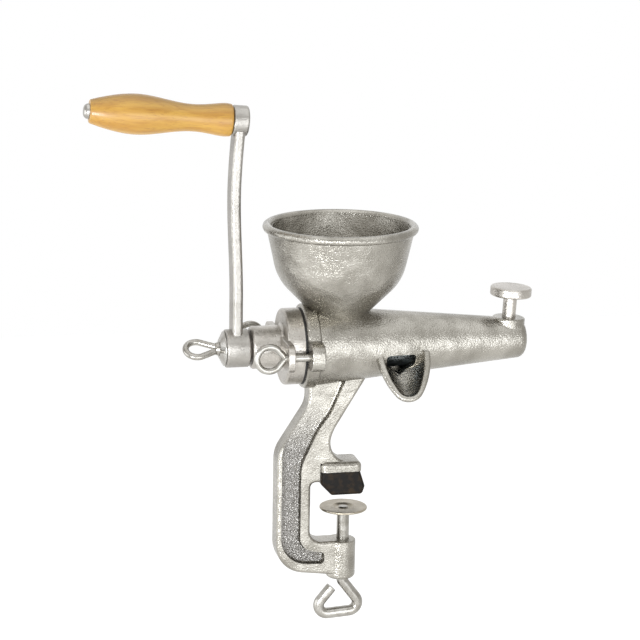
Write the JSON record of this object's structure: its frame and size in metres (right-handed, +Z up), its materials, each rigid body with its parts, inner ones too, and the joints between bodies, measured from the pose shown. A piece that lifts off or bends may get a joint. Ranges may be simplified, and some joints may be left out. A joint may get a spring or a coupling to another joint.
{
  "type": "manual wheatgrass juicer",
  "caption": "Hand-cranked table-clamp juicer of tinned cast iron, with a bell hopper, tapered barrel, juice spout, nose screw, wooden grip and looped clamp screw.",
  "frame": {"origin": "centre of the lower face of the upper jaw's rubber pad, which rests on the table top", "axes": "+Z up, +X along the barrel from the crank to the nose, +Y away from the juice spout"},
  "size_m": [0.356, 0.1212, 0.4272],
  "materials": {
    "tinned_iron": "tinned, satin",
    "bright_steel": "zinc plated",
    "stainless_sheet": "satin",
    "black_rubber": "matt",
    "grey_gasket": "matt",
    "nylon": "matt",
    "varnished_wood": "clear varnish"
  },
  "bodies": {
    "frame": {"body_casting": "tinned_iron", "end_cover": "tinned_iron", "cover_gasket": "grey_gasket", "thrust_washer": "nylon", "juice_screen": "stainless_sheet", "jaw_pad": "black_rubber"},
    "drive": {"auger": "tinned_iron", "crank_arm": "tinned_iron", "handle_spindle": "bright_steel"},
    "grip": {"handle_grip": "varnished_wood"},
    "hub_washer": {"crank_washer": "bright_steel"},
    "hub_eye": {"crank_eye_screw": "bright_steel"},
    "cover_eye_f": {"cover_eye_screw_front": "bright_steel"},
    "cover_eye_r": {"cover_eye_screw_rear": "bright_steel"},
    "adjuster": {"adjusting_screw": "tinned_iron"},
    "disc": {"clamp_disc": "tinned_iron"},
    "screw": {"clamp_screw": "bright_steel"}
  },
  "joints": [
    {"name": "crank_turn", "type": "hinge", "parent": "frame", "child": "drive", "pos_m": [-0.0787, 0, 0.12], "axis": [1, 0, 0], "continuous": true},
    {"name": "grip_spin", "type": "hinge", "parent": "drive", "child": "grip", "pos_m": [-0.0871, 0, 0.298], "axis": [-0.9969, 0, 0.0785], "continuous": true},
    {"name": "hub_washer_slide", "type": "slide", "parent": "drive", "child": "hub_washer", "axis": [1, 0, 0], "range_m": [-0.0125, 0]},
    {"name": "hub_eye_turn", "type": "hinge", "parent": "hub_washer", "child": "hub_eye", "pos_m": [-0.104, 0, 0.12], "axis": [1, 0, 0], "range_deg": [-3600, 0]},
    {"name": "cover_eye_f_turn", "type": "hinge", "parent": "frame", "child": "cover_eye_f", "pos_m": [-0.058, -0.0385, 0.12], "axis": [1, 0, 0], "range_deg": [-360, 0]},
    {"name": "cover_eye_r_turn", "type": "hinge", "parent": "frame", "child": "cover_eye_r", "pos_m": [-0.058, 0.0385, 0.12], "axis": [1, 0, 0], "range_deg": [-360, 0]},
    {"name": "adjuster_turn", "type": "hinge", "parent": "frame", "child": "adjuster", "pos_m": [0.1314, 0, 0.12], "axis": [0.0523, 0, 0.9986], "range_deg": [-720, 720]},
    {"name": "disc_travel", "type": "slide", "parent": "frame", "child": "disc", "axis": [0, 0, 1], "range_m": [-0.0225, 0]},
    {"name": "clamp_turn", "type": "hinge", "parent": "disc", "child": "screw", "pos_m": [0, 0, -0.06], "axis": [0, 0, 1], "range_deg": [-5400, 0]}
  ],
  "couplings": [
    {"joint": "hub_eye_turn", "follows": "hub_washer_slide", "rad_per_m": 5026.5},
    {"joint": "clamp_turn", "follows": "disc_travel", "rad_per_m": 4188.8}
  ]
}
